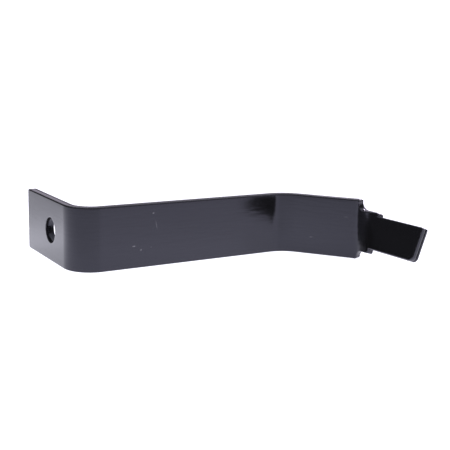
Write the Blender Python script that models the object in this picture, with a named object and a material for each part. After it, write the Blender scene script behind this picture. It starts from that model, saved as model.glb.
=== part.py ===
"""Anti-rotation bracket for an electric clutch.

One length of flat steel bar: punched from the front, bent three times across its width and twisted a
little before its finger. The tab with the round hole bolts to a frame, and the finger reaches into the
slot of the clutch and keeps its housing from turning.

The bar is drawn flat first, as it comes off the punch: x runs along it from the free end of the tab, y
across it and z through it, with the front face on top. The folded bracket stands on its lower edge, with
its long leg along X, the tab at the back left and the finger at the front right. Sizes are in metres.
"""

import math

import bmesh
import bpy
from mathutils import Matrix, Vector

# Bar stock
BAR_WIDTH = 0.0254
BAR_THICKNESS = 0.0035

# Mounting tab and its bolt hole
TAB_LENGTH = 0.0400
TAB_CORNER_RADIUS = 0.00065
HOLE_DIAMETER = 0.0103
HOLE_FROM_END = 0.0262

# First bend, a square one round the front of the tab
FIRST_BEND_ANGLE = math.radians(90.0)
FIRST_BEND_INSIDE_RADIUS = 0.0080

# Long leg
LEG_LENGTH = 0.0790

# Second bend, towards the front
SECOND_BEND_ANGLE = math.radians(52.0)
SECOND_BEND_INSIDE_RADIUS = 0.0120

# Slanting run between the second and the third bend
SLANT_LENGTH = 0.0249

# Third bend, tight and round the narrowed neck: it leaves the finger nearly parallel to the tab
THIRD_BEND_ANGLE = math.radians(36.0)
THIRD_BEND_INSIDE_RADIUS = 0.0043

# Neck, which starts a little way into the third bend and sits slightly low on the bar
NECK_FROM_BEND = 0.0025
NECK_LENGTH = 0.0094
NECK_WIDTH = 0.0173
NECK_DROP = 0.0002
NECK_FILLET_RADIUS = 0.0030
BAR_SHOULDER_RADIUS = 0.0008
NECK_SHOULDER_RADIUS = 0.0010

# Finger: its tip is square at the top and rounder at the bottom
FINGER_LENGTH = 0.0246
FINGER_WIDTH = 0.0140
FINGER_FILLET_RADIUS = 0.0003
TIP_TOP_RADIUS = 0.0008
TIP_BOTTOM_RADIUS = 0.0021

# Twist about the bar's own length, over the neck and a little into the finger: gentle at first and
# tightest where the neck ends
TWIST_ANGLE = math.radians(21.0)
TWIST_LENGTH = 0.0115

# Edges left by the punch: drawn in round on the front and nearly square on the back. The hole's edges
# stay crisp on both.
FRONT_EDGE_RADIUS = 0.0005
HOLE_EDGE_RADIUS = 0.0002
BACK_EDGE_CHAMFER = 0.0001

# Fineness of the faceted surface
ARC_STEP = math.radians(18.0)
EDGE_STEPS = 3
BEND_STEP = math.radians(4.5)
HOLE_SIDES = 40
TWIST_STEPS = 10
NECK_LANES = 6
SAME_PLANE_ANGLE = math.radians(0.1)
SHARP_EDGE_ANGLE = math.radians(35.0)
CUT_TOLERANCE = 1e-7


class Run:
    """One stretch of the bar's middle line: straight, or turning left through a positive angle."""

    def __init__(self, length, turn=0.0):
        self.length = length
        self.turn = turn

    def advance(self, distance):
        """Move a frame along the run, with its x along the bar, y to the bar's left and z up."""
        if not self.turn:
            return Matrix.Translation((distance, 0.0, 0.0))
        centre = Matrix.Translation((0.0, self.length / self.turn, 0.0))
        swing = Matrix.Rotation(self.turn * distance / self.length, 4, "Z")
        return centre @ swing @ centre.inverted()


def bend(inside_radius, turn):
    """A bend of the bar, as long as its middle line."""
    return Run((inside_radius + BAR_THICKNESS / 2) * abs(turn), turn)


TAB = Run(TAB_LENGTH)
FIRST_BEND = bend(FIRST_BEND_INSIDE_RADIUS, FIRST_BEND_ANGLE)
LEG = Run(LEG_LENGTH)
SECOND_BEND = bend(SECOND_BEND_INSIDE_RADIUS, -SECOND_BEND_ANGLE)
SLANT = Run(SLANT_LENGTH)
THIRD_BEND = bend(THIRD_BEND_INSIDE_RADIUS, -THIRD_BEND_ANGLE)

THIRD_BEND_START = sum(run.length for run in (TAB, FIRST_BEND, LEG, SECOND_BEND, SLANT))
NECK_START = THIRD_BEND_START + NECK_FROM_BEND
FINGER_START = NECK_START + NECK_LENGTH
TIP = FINGER_START + FINGER_LENGTH
FINGER = Run(TIP - THIRD_BEND_START - THIRD_BEND.length)

RUNS = (TAB, FIRST_BEND, LEG, SECOND_BEND, SLANT, THIRD_BEND, FINGER)


def blank_corners():
    """The corners of the flat blank, anticlockwise from the tab's lower one, each with its radius."""
    half_bar = BAR_WIDTH / 2
    neck_top = NECK_WIDTH / 2 - NECK_DROP
    neck_bottom = -NECK_WIDTH / 2 - NECK_DROP
    half_finger = FINGER_WIDTH / 2
    return (
        (0.0, -half_bar, TAB_CORNER_RADIUS),
        (NECK_START, -half_bar, BAR_SHOULDER_RADIUS),
        (NECK_START, neck_bottom, NECK_FILLET_RADIUS),
        (FINGER_START, neck_bottom, NECK_SHOULDER_RADIUS),
        (FINGER_START, -half_finger, FINGER_FILLET_RADIUS),
        (TIP, -half_finger, TIP_BOTTOM_RADIUS),
        (TIP, half_finger, TIP_TOP_RADIUS),
        (FINGER_START, half_finger, FINGER_FILLET_RADIUS),
        (FINGER_START, neck_top, NECK_SHOULDER_RADIUS),
        (NECK_START, neck_top, NECK_FILLET_RADIUS),
        (NECK_START, half_bar, BAR_SHOULDER_RADIUS),
        (0.0, half_bar, TAB_CORNER_RADIUS),
    )


def rounded_outline(inset):
    """Points of the blank's outline, moved into the material by inset, with an arc at each corner."""
    corners = blank_corners()
    points = []
    for index, (x, y, radius) in enumerate(corners):
        corner = Vector((x, y))
        before = (Vector(corners[index - 1][:2]) - corner).normalized()
        after = (Vector(corners[(index + 1) % len(corners)][:2]) - corner).normalized()
        outer = after.x * before.y - after.y * before.x > 0
        centre = corner + (before + after) * radius
        arc_radius = radius - inset if outer else radius + inset
        steps = max(2, round(math.pi / 2 / ARC_STEP))
        for step in range(steps + 1):
            angle = math.pi / 2 * step / steps
            points.append(centre - arc_radius * (after * math.cos(angle) + before * math.sin(angle)))
    return points


def hole_outline(inset):
    """Points of the bolt hole, widened by inset."""
    radius = HOLE_DIAMETER / 2 + inset
    points = []
    for side in range(HOLE_SIDES):
        angle = math.tau * side / HOLE_SIDES
        points.append(Vector((HOLE_FROM_END + radius * math.cos(angle), radius * math.sin(angle))))
    return points


def edge_section(front_radius):
    """Inset and height of a punched edge, from the back face up to the front face."""
    half = BAR_THICKNESS / 2
    section = [(BACK_EDGE_CHAMFER, -half), (0.0, BACK_EDGE_CHAMFER - half)]
    for step in range(EDGE_STEPS + 1):
        angle = math.pi / 2 * step / EDGE_STEPS
        inset = front_radius * (1.0 - math.cos(angle))
        section.append((inset, half - front_radius * (1.0 - math.sin(angle))))
    return section


def closed_loop(blank, points, height):
    """A closed loop of edges through the points at one height."""
    verts = [blank.verts.new((point.x, point.y, height)) for point in points]
    return [blank.edges.new((verts[index - 1], vert)) for index, vert in enumerate(verts)]


def punch_blank():
    """The flat bar with its outline, its bolt hole and its punched edges."""
    blank = bmesh.new()
    levels = []
    for outside, inside in zip(edge_section(FRONT_EDGE_RADIUS), edge_section(HOLE_EDGE_RADIUS)):
        outer = closed_loop(blank, rounded_outline(outside[0]), outside[1])
        hole = closed_loop(blank, hole_outline(inside[0]), inside[1])
        levels.append((outer, hole))
    for lower, upper in zip(levels, levels[1:]):
        bmesh.ops.bridge_loops(blank, edges=lower[0] + upper[0])
        bmesh.ops.bridge_loops(blank, edges=lower[1] + upper[1])
    for outer, hole in (levels[0], levels[-1]):
        bmesh.ops.triangle_fill(blank, use_beauty=True, edges=outer + hole)
    bmesh.ops.dissolve_limit(blank, angle_limit=SAME_PLANE_ANGLE, verts=blank.verts, edges=blank.edges)
    return blank


def bend_places():
    """Where the blank is cut across: through each bend and through the twist."""
    places = []
    start = 0.0
    for run in RUNS:
        if run.turn:
            steps = math.ceil(abs(run.turn) / BEND_STEP)
            places += [start + run.length * step / steps for step in range(steps + 1)]
        start += run.length
    places += [NECK_START + TWIST_LENGTH * step / TWIST_STEPS for step in range(TWIST_STEPS + 1)]
    return places


def cut_across(blank):
    """Cut the whole blank across, so that it can bend and twist."""
    for place in bend_places():
        geometry = list(blank.verts) + list(blank.edges) + list(blank.faces)
        bmesh.ops.bisect_plane(blank, geom=geometry, dist=CUT_TOLERANCE,
                               plane_co=(place, 0.0, 0.0), plane_no=(1.0, 0.0, 0.0))


def cut_neck_lanes(blank):
    """Cut the twisted stretch lengthwise, so that its warped faces stay smooth."""
    for lane in range(1, NECK_LANES):
        height = NECK_WIDTH * (lane / NECK_LANES - 0.5) - NECK_DROP
        faces = [face for face in blank.faces if face.calc_center_median().x > NECK_START]
        edges = list({edge for face in faces for edge in face.edges})
        verts = list({vert for face in faces for vert in face.verts})
        bmesh.ops.bisect_plane(blank, geom=verts + edges + faces, dist=CUT_TOLERANCE,
                               plane_co=(0.0, height, 0.0), plane_no=(0.0, 1.0, 0.0))


def fold(point):
    """Carry a point of the flat blank to its place on the folded bracket."""
    frame = Matrix.Rotation(-FIRST_BEND_ANGLE, 4, "Z")
    left = point.x
    for run in RUNS:
        distance = min(left, run.length)
        frame = frame @ run.advance(distance)
        left -= distance
    share = min(max((point.x - NECK_START) / TWIST_LENGTH, 0.0), 1.0)
    eased = share ** 3 * (4.0 - 3.0 * share)
    lean = Matrix.Rotation(-TWIST_ANGLE * eased, 4, "X")
    return frame @ lean @ Vector((0.0, -point.z, point.y))


def set_down(blank):
    """Move the folded bar so that the origin is under the middle of its box, on the ground."""
    low = Vector(min(vert.co[axis] for vert in blank.verts) for axis in range(3))
    high = Vector(max(vert.co[axis] for vert in blank.verts) for axis in range(3))
    middle = (low + high) / 2
    bmesh.ops.translate(blank, verts=blank.verts, vec=(-middle.x, -middle.y, -low.z))


def black_paint():
    """Glossy black enamel over the steel."""
    material = bpy.data.materials.new("black_enamel")
    material.use_nodes = True
    shader = material.node_tree.nodes["Principled BSDF"]
    shader.inputs["Base Color"].default_value = (0.012, 0.012, 0.014, 1.0)
    shader.inputs["Metallic"].default_value = 0.0
    shader.inputs["Roughness"].default_value = 0.28
    return material


def make_bracket():
    """The folded bracket as one named object."""
    blank = punch_blank()
    cut_across(blank)
    cut_neck_lanes(blank)
    bmesh.ops.triangulate(blank, faces=blank.faces)
    for vert in blank.verts:
        vert.co = fold(vert.co)
    set_down(blank)
    bmesh.ops.recalc_face_normals(blank, faces=blank.faces)
    mesh = bpy.data.meshes.new("anti_rotation_bracket")
    blank.to_mesh(mesh)
    blank.free()
    mesh.shade_smooth()
    mesh.set_sharp_from_angle(angle=SHARP_EDGE_ANGLE)
    mesh.materials.append(black_paint())
    bracket = bpy.data.objects.new("anti_rotation_bracket", mesh)
    bpy.context.collection.objects.link(bracket)
    return bracket


for old in list(bpy.data.objects):
    bpy.data.objects.remove(old, do_unlink=True)

make_bracket()
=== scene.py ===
"""Looks of the clutch anti-rotation bracket: one length of flat steel bar, punched, bent three times,
twisted a little at its neck and dipped in glossy black enamel. Sizes are in metres."""

import math

import bmesh
import bpy
from mathutils import Matrix, Vector


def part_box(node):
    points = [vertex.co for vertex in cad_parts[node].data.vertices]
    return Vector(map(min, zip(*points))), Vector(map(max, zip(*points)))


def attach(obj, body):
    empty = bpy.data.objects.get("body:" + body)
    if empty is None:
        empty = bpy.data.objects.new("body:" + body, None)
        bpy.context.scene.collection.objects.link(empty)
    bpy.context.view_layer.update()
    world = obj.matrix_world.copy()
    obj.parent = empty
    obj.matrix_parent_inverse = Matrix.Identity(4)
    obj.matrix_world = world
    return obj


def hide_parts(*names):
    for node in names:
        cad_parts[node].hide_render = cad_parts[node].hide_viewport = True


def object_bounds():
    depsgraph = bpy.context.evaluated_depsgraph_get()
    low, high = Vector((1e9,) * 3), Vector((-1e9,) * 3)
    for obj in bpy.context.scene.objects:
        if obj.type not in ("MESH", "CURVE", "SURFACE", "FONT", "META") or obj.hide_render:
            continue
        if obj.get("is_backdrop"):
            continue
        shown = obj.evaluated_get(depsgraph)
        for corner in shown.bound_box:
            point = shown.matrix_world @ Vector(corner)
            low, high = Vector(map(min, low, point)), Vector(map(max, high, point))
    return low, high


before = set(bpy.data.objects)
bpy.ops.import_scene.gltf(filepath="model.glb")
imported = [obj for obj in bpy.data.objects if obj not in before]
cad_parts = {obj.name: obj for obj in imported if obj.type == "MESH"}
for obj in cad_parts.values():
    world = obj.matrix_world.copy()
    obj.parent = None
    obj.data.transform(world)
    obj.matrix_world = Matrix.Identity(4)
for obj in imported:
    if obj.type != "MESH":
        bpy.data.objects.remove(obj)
cad_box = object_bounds()
scene = bpy.context.scene


# The camera stands a little above the bracket and in front of its bolt tab.
# It is a long lens on a square frame, tipped down and rolled very slightly.

CAMERA_PLACE = Vector((-0.17595, -0.28229, 0.08398))
CAMERA_TIP = math.radians(78.323)
CAMERA_HEADING = math.radians(-32.282)
CAMERA_ROLL = math.radians(1.728)
LENS_MM = 66.54
SENSOR_MM = 36.0

camera_data = bpy.data.cameras.new("camera")
camera_data.lens = LENS_MM
camera_data.sensor_width = SENSOR_MM
camera_data.clip_start = 0.01
camera_data.clip_end = 20.0
camera = bpy.data.objects.new("camera", camera_data)
camera.matrix_world = (
    Matrix.Translation(CAMERA_PLACE)
    @ Matrix.Rotation(CAMERA_HEADING, 4, "Z")
    @ Matrix.Rotation(CAMERA_TIP, 4, "X")
    @ Matrix.Rotation(CAMERA_ROLL, 4, "Z")
)
scene.collection.objects.link(camera)
scene.camera = camera


# The floor is a light table: a wide sheet of opal acrylic with two lamps glowing through it under the
# bracket, so it stays white with hardly a shadow. A pale wall stands all round the bracket, for the eye
# only: the paint mirrors the studio behind it instead.

FLOOR_RADIUS = 3.0
WALL_RADIUS = 0.7
WALL_HEIGHT = 3.0
OPAL_WHITE = "#e9e9ea"
ACRYLIC_ROUGHNESS = 0.10
ACRYLIC_IOR = 1.49
LAMP_COLOUR = "#f5f5ff"
LAMP_CENTRES = (Vector((0.000, 0.010, 0.0)), Vector((-0.085, 0.065, 0.0)))
LAMP_SPREADS = (0.110, 0.065)
LAMP_STRENGTHS = (0.48, 0.76)
GLOW_STRENGTH = 0.78
WALL_STRENGTH = 1.3


def linear(code):
    """An sRGB hex colour as linear red, green and blue, and full alpha."""
    levels = [int(code[at:at + 2], 16) / 255 for at in (1, 3, 5)]
    return [v / 12.92 if v <= 0.04045 else ((v + 0.055) / 1.055) ** 2.4 for v in levels] + [1.0]


def add_node(tree, kind, settings=None, inputs=None):
    """Add one node, with its settings, and its inputs as values or as the sockets that feed them."""
    node = tree.nodes.new(kind)
    for name, value in (settings or {}).items():
        setattr(node, name, value)
    for name, value in (inputs or {}).items():
        if isinstance(value, bpy.types.NodeSocket):
            tree.links.new(value, node.inputs[name])
        else:
            node.inputs[name].default_value = value
    return node


def new_material(name):
    """An empty node material and its node tree."""
    material = bpy.data.materials.new(name)
    material.use_nodes = True
    material.node_tree.nodes.clear()
    return material, material.node_tree


def stage_object(name, shape, material):
    """A stage piece made from a finished bmesh."""
    mesh = bpy.data.meshes.new(name)
    shape.to_mesh(mesh)
    shape.free()
    mesh.materials.append(material)
    piece = bpy.data.objects.new(name, mesh)
    scene.collection.objects.link(piece)
    piece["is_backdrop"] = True
    return piece


def lit_acrylic():
    """Opal acrylic lit from below: an even glow, and more over each lamp, fading away from it."""
    material, tree = new_material("back_lit_opal_acrylic")
    place = add_node(tree, "ShaderNodeTexCoord").outputs["Object"]
    strength = GLOW_STRENGTH
    for centre, spread, lamp_strength in zip(LAMP_CENTRES, LAMP_SPREADS, LAMP_STRENGTHS):
        centred = add_node(tree, "ShaderNodeMapping", inputs={
            "Vector": place, "Location": -centre / spread, "Scale": [1.0 / spread] * 3}).outputs["Vector"]
        distance = add_node(tree, "ShaderNodeVectorMath", {"operation": "DOT_PRODUCT"}, {
            0: centred, 1: centred}).outputs["Value"]
        fall = add_node(tree, "ShaderNodeMath", {"operation": "ADD"}, {0: distance, 1: 1.0}).outputs[0]
        fall = add_node(tree, "ShaderNodeMath", {"operation": "POWER"}, {0: fall, 1: -2.0}).outputs[0]
        strength = add_node(tree, "ShaderNodeMath", {"operation": "MULTIPLY_ADD"}, {
            0: fall, 1: lamp_strength, 2: strength}).outputs[0]
    glow = add_node(tree, "ShaderNodeEmission", inputs={"Color": linear(LAMP_COLOUR), "Strength": strength})
    sheet = add_node(tree, "ShaderNodeBsdfPrincipled", inputs={
        "Base Color": linear(OPAL_WHITE), "Roughness": ACRYLIC_ROUGHNESS, "IOR": ACRYLIC_IOR})
    both = add_node(tree, "ShaderNodeAddShader", inputs={0: glow.outputs[0], 1: sheet.outputs[0]})
    add_node(tree, "ShaderNodeOutputMaterial", inputs={"Surface": both.outputs[0]})
    return material


def bright_wall():
    """A wall that is simply white to the eye."""
    material, tree = new_material("far_white_wall")
    glow = add_node(tree, "ShaderNodeEmission", inputs={"Strength": WALL_STRENGTH})
    add_node(tree, "ShaderNodeOutputMaterial", inputs={"Surface": glow.outputs[0]})
    return material


floor_shape = bmesh.new()
bmesh.ops.create_circle(floor_shape, cap_ends=True, segments=96, radius=FLOOR_RADIUS)
stage_object("floor", floor_shape, lit_acrylic())

wall_shape = bmesh.new()
bmesh.ops.create_cone(wall_shape, segments=96, radius1=WALL_RADIUS, radius2=WALL_RADIUS, depth=WALL_HEIGHT)
bmesh.ops.translate(wall_shape, verts=wall_shape.verts, vec=(0.0, 0.0, WALL_HEIGHT / 2))
wall = stage_object("wall", wall_shape, bright_wall())
for ray in ("diffuse", "glossy", "transmission", "volume_scatter", "shadow"):
    setattr(wall, "visible_" + ray, False)


# The studio is a dark room under a white ceiling, with lit panels round the bracket. The bar's upper
# edges mirror those behind it, its leg mirrors the front one by way of the floor, and its cut ends and
# corners mirror those at the right.

CEILING_STRENGTH = 1.0
DARK_STRENGTH = 0.07
STUDIO_COLOUR = "#f5f5ff"
PANEL_COLOUR = "#ebe2f5"
CEILING_EDGE = (0.56, 0.76)
PANELS = {
    "back_left_panel": (Vector((0.08, 1.20, 0.22)), (0.75, 0.36), 0.70),
    "back_panel": (Vector((0.76, 1.20, 0.44)), (0.55, 0.80), 0.38),
    "back_right_panel": (Vector((1.50, 1.20, 0.30)), (0.80, 0.56), 0.50),
    "front_panel": (Vector((0.50, -0.95, 0.31)), (0.70, 0.60), 0.50),
    "side_panel": (Vector((0.90, -0.52, 0.17)), (0.22, 0.22), 1.80),
    "corner_lamp": (Vector((0.86, 0.43, 0.35)), (0.30, 0.30), 20.0),
}


def lit_studio():
    """Light by direction: bright from above and dark from the sides."""
    world = bpy.data.worlds.new("studio")
    world.use_nodes = True
    tree = world.node_tree
    tree.nodes.clear()
    direction = add_node(tree, "ShaderNodeTexCoord").outputs["Generated"]
    height = add_node(tree, "ShaderNodeSeparateXYZ", inputs={0: direction}).outputs["Z"]
    strength = add_node(tree, "ShaderNodeMapRange", {"interpolation_type": "SMOOTHSTEP"}, {
        "Value": height, "From Min": CEILING_EDGE[0], "From Max": CEILING_EDGE[1],
        "To Min": DARK_STRENGTH, "To Max": CEILING_STRENGTH}).outputs["Result"]
    sky = add_node(tree, "ShaderNodeBackground", inputs={
        "Color": linear(STUDIO_COLOUR), "Strength": strength})
    add_node(tree, "ShaderNodeOutputWorld", inputs={"Surface": sky.outputs[0]})
    scene.world = world


def soft_box(name, place, size, strength):
    """A soft box that faces the bracket from one place, as bright as strength seen from there."""
    data = bpy.data.lights.new(name, "AREA")
    data.shape = "RECTANGLE"
    data.size, data.size_y = size
    data.color = linear(PANEL_COLOUR)[:3]
    data.energy = strength * math.pi * size[0] * size[1]
    light = bpy.data.objects.new(name, data)
    turn = (Vector((0.0, 0.0, place.z)) - place).to_track_quat("-Z", "Y")
    light.matrix_world = Matrix.Translation(place) @ turn.to_matrix().to_4x4()
    light.visible_camera = False
    scene.collection.objects.link(light)


lit_studio()
for name, (place, size, strength) in PANELS.items():
    soft_box(name, place, size, strength)
scene.view_settings.view_transform = "Standard"


# The bracket is one piece of hot rolled flat bar, an inch wide. A press punches its outline and the bolt
# hole from the front, which draws the front edges in round, then bends it three times and twists its
# neck. It is drawn here flat, with x along the bar, y across it and z up out of the front face.

BAR_WIDTH = 0.0254
BAR_THICKNESS = 0.0035
TAB_LENGTH = 0.0400
TAB_CORNER_RADIUS = 0.00065
HOLE_DIAMETER = 0.0103
HOLE_FROM_END = 0.0262
FIRST_BEND_ANGLE = math.radians(90.0)
FIRST_BEND_INSIDE_RADIUS = 0.0080
LEG_LENGTH = 0.0790
SECOND_BEND_ANGLE = math.radians(52.0)
SECOND_BEND_INSIDE_RADIUS = 0.0120
SLANT_LENGTH = 0.0249
THIRD_BEND_ANGLE = math.radians(36.0)
THIRD_BEND_INSIDE_RADIUS = 0.0043
NECK_FROM_BEND = 0.0025
NECK_LENGTH = 0.0094
NECK_WIDTH = 0.0173
NECK_DROP = 0.0002
NECK_FILLET_RADIUS = 0.0030
BAR_SHOULDER_RADIUS = 0.0008
NECK_SHOULDER_RADIUS = 0.0010
FINGER_LENGTH = 0.0246
FINGER_WIDTH = 0.0140
FINGER_FILLET_RADIUS = 0.0003
TIP_TOP_RADIUS = 0.0008
TIP_BOTTOM_RADIUS = 0.0021
TWIST_ANGLE = math.radians(21.0)
TWIST_LENGTH = 0.0115

# The punched edge. From the shear line up to the front it is smooth and square, and then drawn in
# round. From the shear line down to the back there is a groove, a rough torn zone and a small rim.
# Each step goes in from the outline and away from the shear line.
SHEAR_HEIGHT = -0.00025
ROLL_RADIUS = 0.0005
ROLL_COUNT = 6
SMOOTH_STEPS = [(0.0, (BAR_THICKNESS / 2 - SHEAR_HEIGHT - ROLL_RADIUS) / 3)] * 3
GROOVE_STEPS = [(0.00002, 0.00005), (0.00001, 0.00030), (-0.00001, 0.00006)]
TORN_STEPS = [(-0.00002, 0.00029), (0.00001, 0.00027), (0.00001, 0.00024), (0.00001, 0.00019)]
RIM_STEPS = [(0.00003, 0.00006), (0.00004, 0.00004)]
FLAT_RING = 0.0001
HOLE_EDGE_RADIUS = 0.0002
BACK_EDGE_CHAMFER = 0.0001
DRAW_DEPTH = 0.00006
DRAW_WIDTH = 0.0016

# A small nick in the tab's end, at its place across the bar.
NICK_PLACE = -0.0042
NICK_DEPTH = 0.0005
NICK_WIDTH = 0.0009
NICK_REACH = 0.0015

# The finger was cropped to length in a stroke of its own, which left the groove deeper on its end.
TIP_GROOVE_DEPTH = 0.0003
TIP_GROOVE_FROM_SHEAR = (0.00004, 0.00036)

# Fineness of the mesh
ARC_SEGMENTS = 10
HOLE_SEGMENTS = 96
BEND_STEP = math.radians(1.5)
STRAIGHT_STEP = 0.0010
LANE_WIDTH = 0.0014
CUT_TOLERANCE = 1e-7


class Run:
    """One stretch of the bar's middle line: straight, or turning left through a positive angle."""

    def __init__(self, length, turn=0.0):
        self.length = length
        self.turn = turn

    def advance(self, distance):
        """Move along the run a set of axes with x along the bar, y to the bar's left and z up."""
        if not self.turn:
            return Matrix.Translation((distance, 0.0, 0.0))
        centre = Matrix.Translation((0.0, self.length / self.turn, 0.0))
        swing = Matrix.Rotation(self.turn * distance / self.length, 4, "Z")
        return centre @ swing @ centre.inverted()


def bend(inside_radius, turn):
    """A bend of the bar, as long as its middle line."""
    return Run((inside_radius + BAR_THICKNESS / 2) * abs(turn), turn)


TAB = Run(TAB_LENGTH)
FIRST_BEND = bend(FIRST_BEND_INSIDE_RADIUS, FIRST_BEND_ANGLE)
LEG = Run(LEG_LENGTH)
SECOND_BEND = bend(SECOND_BEND_INSIDE_RADIUS, -SECOND_BEND_ANGLE)
SLANT = Run(SLANT_LENGTH)
THIRD_BEND = bend(THIRD_BEND_INSIDE_RADIUS, -THIRD_BEND_ANGLE)
THIRD_BEND_START = sum(run.length for run in (TAB, FIRST_BEND, LEG, SECOND_BEND, SLANT))
NECK_START = THIRD_BEND_START + NECK_FROM_BEND
FINGER_START = NECK_START + NECK_LENGTH
TIP = FINGER_START + FINGER_LENGTH
FINGER = Run(TIP - THIRD_BEND_START - THIRD_BEND.length)
RUNS = (TAB, FIRST_BEND, LEG, SECOND_BEND, SLANT, THIRD_BEND, FINGER)


def blank_corners():
    """The corners of the flat blank, anticlockwise from the tab's lower one, each with its radius."""
    half_bar = BAR_WIDTH / 2
    neck_top = NECK_WIDTH / 2 - NECK_DROP
    neck_bottom = -NECK_WIDTH / 2 - NECK_DROP
    half_finger = FINGER_WIDTH / 2
    return (
        (0.0, -half_bar, TAB_CORNER_RADIUS),
        (NECK_START, -half_bar, BAR_SHOULDER_RADIUS),
        (NECK_START, neck_bottom, NECK_FILLET_RADIUS),
        (FINGER_START, neck_bottom, NECK_SHOULDER_RADIUS),
        (FINGER_START, -half_finger, FINGER_FILLET_RADIUS),
        (TIP, -half_finger, TIP_BOTTOM_RADIUS),
        (TIP, half_finger, TIP_TOP_RADIUS),
        (FINGER_START, half_finger, FINGER_FILLET_RADIUS),
        (FINGER_START, neck_top, NECK_SHOULDER_RADIUS),
        (NECK_START, neck_top, NECK_FILLET_RADIUS),
        (NECK_START, half_bar, BAR_SHOULDER_RADIUS),
        (0.0, half_bar, TAB_CORNER_RADIUS),
    )


def punched_sheet():
    """The outline as one flat face, with its corners rounded."""
    blank = bmesh.new()
    corners = blank_corners()
    verts = [blank.verts.new((x, y, SHEAR_HEIGHT)) for x, y, radius in corners]
    blank.faces.new(verts)
    for vert, (x, y, radius) in zip(verts, corners):
        bmesh.ops.bevel(blank, geom=[vert], affect="VERTICES", offset=radius, offset_type="OFFSET",
                        segments=ARC_SEGMENTS, profile=0.5, material=-1)
    return blank


def step_edges(blank, face, inward, rise):
    """Add one step to the edges all round a face: in from its outline, and up or down."""
    bmesh.ops.inset_region(blank, faces=[face], thickness=inward, use_boundary=True, use_even_offset=True)
    bmesh.ops.translate(blank, verts=face.verts, vec=(0.0, 0.0, rise))


def roll_steps():
    """The steps of the quarter round that the punch draws on the front edge."""
    for count in range(ROLL_COUNT):
        start, end = (math.pi / 2 * at / ROLL_COUNT for at in (count, count + 1))
        yield ROLL_RADIUS * (math.cos(start) - math.cos(end)), ROLL_RADIUS * (math.sin(end) - math.sin(start))


def cut(blank, place, normal, geometry=None):
    """Cut the blank, or only the given part of it, by an upright plane."""
    geometry = geometry or blank.verts[:] + blank.edges[:] + blank.faces[:]
    bmesh.ops.bisect_plane(blank, geom=geometry, dist=CUT_TOLERANCE, plane_co=place, plane_no=normal)


def punch_hole(blank):
    """Punch the bolt hole through the tab: its edges stay crisp on both faces."""
    cut(blank, (TAB_LENGTH, 0.0, 0.0), (1.0, 0.0, 0.0))

    # The two largest of the tab's flat faces are its front and its back.
    tab = [face for face in blank.faces if face.calc_center_median().x < TAB_LENGTH]
    flats = [face for face in tab if abs(face.normal.z) > 0.99]
    rims = []
    for face in sorted(flats, key=lambda face: face.calc_area())[-2:]:
        outline = face.edges[:]
        place = Matrix.Translation((HOLE_FROM_END, 0.0, face.verts[0].co.z))
        bmesh.ops.delete(blank, geom=[face], context="FACES_ONLY")
        circle = bmesh.ops.create_circle(
            blank, segments=HOLE_SEGMENTS, radius=HOLE_DIAMETER / 2, matrix=place)
        rim = list(dict.fromkeys(edge for vert in circle["verts"] for edge in vert.link_edges))
        bmesh.ops.triangle_fill(blank, use_beauty=True, edges=outline + rim)
        rims += rim
    bmesh.ops.bridge_loops(blank, edges=rims)
    bmesh.ops.recalc_face_normals(blank, faces=blank.faces[:])
    for upper, offset in ((True, HOLE_EDGE_RADIUS), (False, BACK_EDGE_CHAMFER)):
        rim = [edge for edge in rims if edge.is_valid and (edge.verts[0].co.z > 0) == upper]
        bmesh.ops.bevel(blank, geom=rim, affect="EDGES", offset=offset, offset_type="OFFSET",
                        segments=3, profile=0.5, material=-1)


def punch_blank():
    """The flat bar with the edges and the hole that the press leaves."""
    blank = punched_sheet()
    back = blank.faces[:][0]
    copied = bmesh.ops.duplicate(blank, geom=blank.verts[:] + blank.edges[:] + blank.faces[:])["geom"]
    front = next(item for item in copied if isinstance(item, bmesh.types.BMFace))
    for inward, rise in (*SMOOTH_STEPS, *roll_steps(), (FLAT_RING, 0.0)):
        step_edges(blank, front, inward, rise)
    for inward, drop in (*GROOVE_STEPS, *TORN_STEPS, *RIM_STEPS, (FLAT_RING, 0.0)):
        step_edges(blank, back, inward, -drop)
    bmesh.ops.remove_doubles(blank, verts=blank.verts[:], dist=CUT_TOLERANCE)
    bmesh.ops.recalc_face_normals(blank, faces=blank.faces[:])
    punch_hole(blank)
    return blank


def cut_into_cells(blank):
    """Cut the blank across and along, finely enough to bend, twist and be uneven."""
    start = 0.0
    for run in RUNS:
        count = math.ceil(abs(run.turn) / BEND_STEP) if run.turn else math.ceil(run.length / STRAIGHT_STEP)
        for step in range(count):
            cut(blank, (start + run.length * step / count, 0.0, 0.0), (1.0, 0.0, 0.0))
        start += run.length
    count = math.ceil(BAR_WIDTH / LANE_WIDTH)
    for lane in range(1, count):
        cut(blank, (0.0, BAR_WIDTH * (lane / count - 0.5), 0.0), (0.0, 1.0, 0.0))


def remember_flat(blank):
    """Keep each point's place on the flat blank, in millimetres, for the patterns that follow the bar."""
    flat = blank.verts.layers.float_vector.new("flat_mm")
    for vert in blank.verts:
        vert[flat] = vert.co * 1000


def nick_tab_end(blank):
    """Dent the tab's end in one place, from the front face down to the shear line."""
    for y in (NICK_PLACE - NICK_WIDTH / 2, NICK_PLACE, NICK_PLACE + NICK_WIDTH / 2):
        end = [face for face in blank.faces if face.calc_center_median().x < NICK_REACH]
        cut(blank, (0.0, y, 0.0), (0.0, 1.0, 0.0),
            list(dict.fromkeys(part for face in end for part in (face, *face.edges, *face.verts))))
    for vert in blank.verts:
        at_nick = vert.co.x < NICK_REACH and abs(vert.co.y - NICK_PLACE) < CUT_TOLERANCE
        if at_nick and vert.co.z > SHEAR_HEIGHT:
            vert.co.x += NICK_DEPTH * (1.0 - vert.co.x / NICK_REACH)


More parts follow.
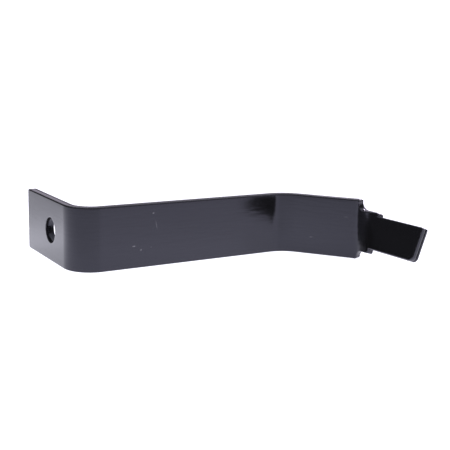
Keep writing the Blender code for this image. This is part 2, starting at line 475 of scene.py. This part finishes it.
def deepen_tip_groove(blank):
    """Sink the groove on the cropped end of the finger."""
    top, bottom = (SHEAR_HEIGHT - drop for drop in TIP_GROOVE_FROM_SHEAR)
    for vert in blank.verts:
        if vert.co.x > TIP - TIP_BOTTOM_RADIUS and bottom < vert.co.z < top:
            vert.co.x -= TIP_GROOVE_DEPTH * max(0.0, vert.normal.x)


def draw_in(blank):
    """Let the front face sink a little towards its long edges, as far as the punch draws it."""
    for vert in blank.verts:
        on_bar = vert.co.x < NECK_START
        half_width = (BAR_WIDTH if on_bar else FINGER_WIDTH) / 2
        from_neck = NECK_START - vert.co.x if on_bar else vert.co.x - FINGER_START
        near = max(0.0, abs(vert.co.y) - half_width + DRAW_WIDTH) / DRAW_WIDTH
        share = min(near, 1.0) ** 2 * min(max(from_neck / DRAW_WIDTH - 1.0, 0.0), 1.0)
        if vert.co.z > SHEAR_HEIGHT:
            vert.co.z -= DRAW_DEPTH * share


def fold(point):
    """Carry a point of the flat blank to its place on the folded bracket."""
    station = Matrix.Rotation(-FIRST_BEND_ANGLE, 4, "Z")
    left = point.x
    for run in RUNS:
        distance = min(left, run.length)
        station = station @ run.advance(distance)
        left -= distance
    share = min(max((point.x - NECK_START) / TWIST_LENGTH, 0.0), 1.0)
    eased = share ** 3 * (4.0 - 3.0 * share)
    lean = Matrix.Rotation(-TWIST_ANGLE * eased, 4, "X")
    return station @ lean @ Vector((0.0, -point.z, point.y))


def finish_piece(name, shape, material):
    """A finished piece of the bracket from a bmesh, at the origin, riding on the one body."""
    mesh = bpy.data.meshes.new(name)
    shape.to_mesh(mesh)
    shape.free()
    mesh.shade_smooth()
    mesh.materials.append(material)
    piece = bpy.data.objects.new(name, mesh)
    scene.collection.objects.link(piece)
    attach(piece, "root")
    return piece


# The enamel's patterns follow the bar: their places and sizes are in millimetres on the flat blank, and
# their heights in metres. Each nib or scratch in its skin, and each of the two pale spots painted on
# corners as highlights, has its place, its length and width, its turn from the bar's length in degrees,
# and its strength.
ENAMEL_BLACK = "#171718"
SKIN_TINT = "#e8e8ff"
SCUFF_AND_HIGHLIGHT_GREY = "#b4b4b8"
ENAMEL_IOR = 1.54
ROUGHNESS = 0.13
MOTTLE = 0.04
MOTTLE_SIZES = (5.0, 2.0, 2.0)
SCUFF_AND_HIGHLIGHT_DULLNESS = 0.3
STREAK_LENGTH = 9.0
STREAK_WIDTH = 1.1
STREAK_HEIGHT = 0.00003
PEEL_SIZE = 0.9
PEEL_HEIGHT = 0.0000015
TORN_FROM_BACK = (-1.66, -1.58)
TORN_FROM_SHEAR = (-0.36, -0.44)
TORN_DULLNESS = 0.16
PIT_SIZES = (0.45, 0.45, 1.2)
PIT_HEIGHT = 0.00003
# The rolls' worn spots: paint worn thin along the front rolls, and also a painted highlight on them.
RUB_FROM_SIDE = (1.26, 1.34)
RUB_FROM_FACE = (1.74, 1.70)
RUB_SIZE = 0.3
RUB_FROM_NOISE = (0.55, 0.75)
RUB_AND_ROLL_HIGHLIGHT_STRENGTH = 0.2
MARKS_AND_GLINTS = (
    ((76.9, 8.9, 1.75), (1.0, 0.8), 0, 0.35),
    ((78.3, 4.0, 1.75), (5.0, 0.6), 101, 0.12),
    ((68.5, -3.7, 1.75), (1.9, 0.6), 4, 0.30),
    ((71.6, -5.4, 1.75), (1.1, 1.1), 0, 0.18),
    ((76.0, -4.7, 1.75), (0.9, 0.5), 0, 0.12),
    ((153.6, -5.2, 1.75), (1.8, 0.6), 15, 0.14),
    ((168.4, 4.9, 1.75), (2.6, 0.4), 2, 0.10),
    # The last two are painted highlights: pale spots on the nub and on the tip's upper corner, standing in
    # for glints.
    ((182.6, 8.3, 0.7), (1.3, 1.7), 0, 1.0),
    ((207.8, 6.7, 0.3), (1.3, 1.3), 0, 1.0),
)


def fade(tree, value, ends):
    """0 at the first of two values and 1 at the second, with nothing past them."""
    return add_node(tree, "ShaderNodeMapRange", inputs={
        "Value": value, "From Min": ends[0], "From Max": ends[1]}).outputs["Result"]


def times(tree, first, second):
    """The product of two values."""
    return add_node(tree, "ShaderNodeMath", {"operation": "MULTIPLY"}, {0: first, 1: second}).outputs[0]


def ripples(tree, flat, sizes):
    """Smooth random ripples of about the given sizes in millimetres: along the bar, across and through."""
    spread = add_node(tree, "ShaderNodeMapping", inputs={
        "Vector": flat, "Scale": [1 / size for size in sizes]}).outputs["Vector"]
    return add_node(tree, "ShaderNodeTexNoise", inputs={"Vector": spread, "Scale": 1.0}).outputs["Fac"]


def mark(tree, flat, place, size, turn, strength):
    """One small mark in the skin: strongest in its middle and gone at its outline."""
    centred = add_node(tree, "ShaderNodeMapping", {"vector_type": "TEXTURE"}, {
        "Vector": flat, "Location": place, "Rotation": (0.0, 0.0, math.radians(turn)),
        "Scale": (size[0] / 2, size[1] / 2, size[1] / 2)}).outputs["Vector"]
    distance = add_node(tree, "ShaderNodeVectorMath", {"operation": "LENGTH"}, {0: centred}).outputs["Value"]
    return times(tree, fade(tree, distance, (1.0, 0.4)), strength)


def black_enamel():
    """Glossy black stoving enamel over hot rolled steel, dipped and baked.

    The paint is nearly black inside, so the eye sees its skin: a cool mirror that is a little uneven. It
    shows the long ripples of the rolled bar, a fine orange peel, a duller torn zone on the punched edges,
    paint worn thin in spots along the rolls, which also serve as a painted highlight there, a few nibs
    and scratches, and pale spots painted on two corners as highlights.
    """
    material, tree = new_material("glossy_black_stoving_enamel")
    flat = add_node(tree, "ShaderNodeAttribute", {"attribute_name": "flat_mm"}).outputs["Vector"]
    through = add_node(tree, "ShaderNodeSeparateXYZ", inputs={0: flat}).outputs["Z"]

    # The groove and the torn zone take a third of the edge's height. Their dull pits run through the bar.
    torn = times(tree, fade(tree, through, TORN_FROM_BACK), fade(tree, through, TORN_FROM_SHEAR))
    pits = ripples(tree, flat, PIT_SIZES)

    # Paint is worn off the rolls only where the noise is high. These pale spots are also a painted highlight
    # along the rolls.
    roll = times(tree, fade(tree, through, RUB_FROM_SIDE), fade(tree, through, RUB_FROM_FACE))
    rub_and_roll_highlight = times(tree, roll, fade(tree, ripples(tree, flat, [RUB_SIZE] * 3), RUB_FROM_NOISE))

    marks_and_glints = 0.0
    for values in MARKS_AND_GLINTS:
        marks_and_glints = add_node(tree, "ShaderNodeMath", {"operation": "MAXIMUM"}, {
            0: mark(tree, flat, *values), 1: marks_and_glints}).outputs[0]
    # The pale colour goes to the nibs, scratches and worn spots, and is also painted highlight: on the two
    # corners and along the rolls.
    scuffs_and_highlights = add_node(tree, "ShaderNodeMath", {"operation": "MAXIMUM"}, {
        0: marks_and_glints, 1: times(tree, rub_and_roll_highlight, RUB_AND_ROLL_HIGHLIGHT_STRENGTH)}).outputs[0]
    colour = add_node(tree, "ShaderNodeMix", {"data_type": "RGBA"}, {
        "Factor": scuffs_and_highlights, "A": linear(ENAMEL_BLACK), "B": linear(SCUFF_AND_HIGHLIGHT_GREY)}).outputs["Result"]

    rough = ROUGHNESS
    mottle = ripples(tree, flat, MOTTLE_SIZES)
    for dull, amount in ((mottle, MOTTLE), (torn, TORN_DULLNESS), (scuffs_and_highlights, SCUFF_AND_HIGHLIGHT_DULLNESS)):
        rough = add_node(tree, "ShaderNodeMath", {"operation": "MULTIPLY_ADD"}, {
            0: dull, 1: amount, 2: rough}).outputs[0]

    skin = None
    for height, distance in (
        (ripples(tree, flat, (STREAK_LENGTH, STREAK_WIDTH, STREAK_WIDTH)), STREAK_HEIGHT),
        (ripples(tree, flat, [PEEL_SIZE] * 3), PEEL_HEIGHT),
        (times(tree, torn, pits), PIT_HEIGHT),
    ):
        inputs = {"Height": height, "Distance": distance}
        if skin:
            inputs["Normal"] = skin
        skin = add_node(tree, "ShaderNodeBump", inputs=inputs).outputs["Normal"]

    paint = add_node(tree, "ShaderNodeBsdfPrincipled", inputs={
        "Base Color": colour,
        "Roughness": rough,
        "IOR": ENAMEL_IOR,
        "Specular Tint": linear(SKIN_TINT),
        "Normal": skin,
    })
    add_node(tree, "ShaderNodeOutputMaterial", inputs={"Surface": paint.outputs[0]})
    return material


# The blank is folded from the tab's free end, which lies in the solid's far left corner.
low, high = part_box("anti_rotation_bracket")
fold_start = Vector((low.x + BAR_THICKNESS / 2, high.y, low.z + BAR_WIDTH / 2))

blank = punch_blank()
cut_into_cells(blank)
nick_tab_end(blank)
remember_flat(blank)
deepen_tip_groove(blank)
draw_in(blank)
bmesh.ops.triangulate(blank, faces=[face for face in blank.faces if len(face.verts) > 4])
for vert in blank.verts:
    vert.co = fold(vert.co) + fold_start
bmesh.ops.recalc_face_normals(blank, faces=blank.faces[:])
bracket = finish_piece("folded_bar", blank, black_enamel())
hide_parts("anti_rotation_bracket")

size = {
    "cad": [list(corner) for corner in cad_box],
    "visual": [list(corner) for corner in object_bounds()],
}
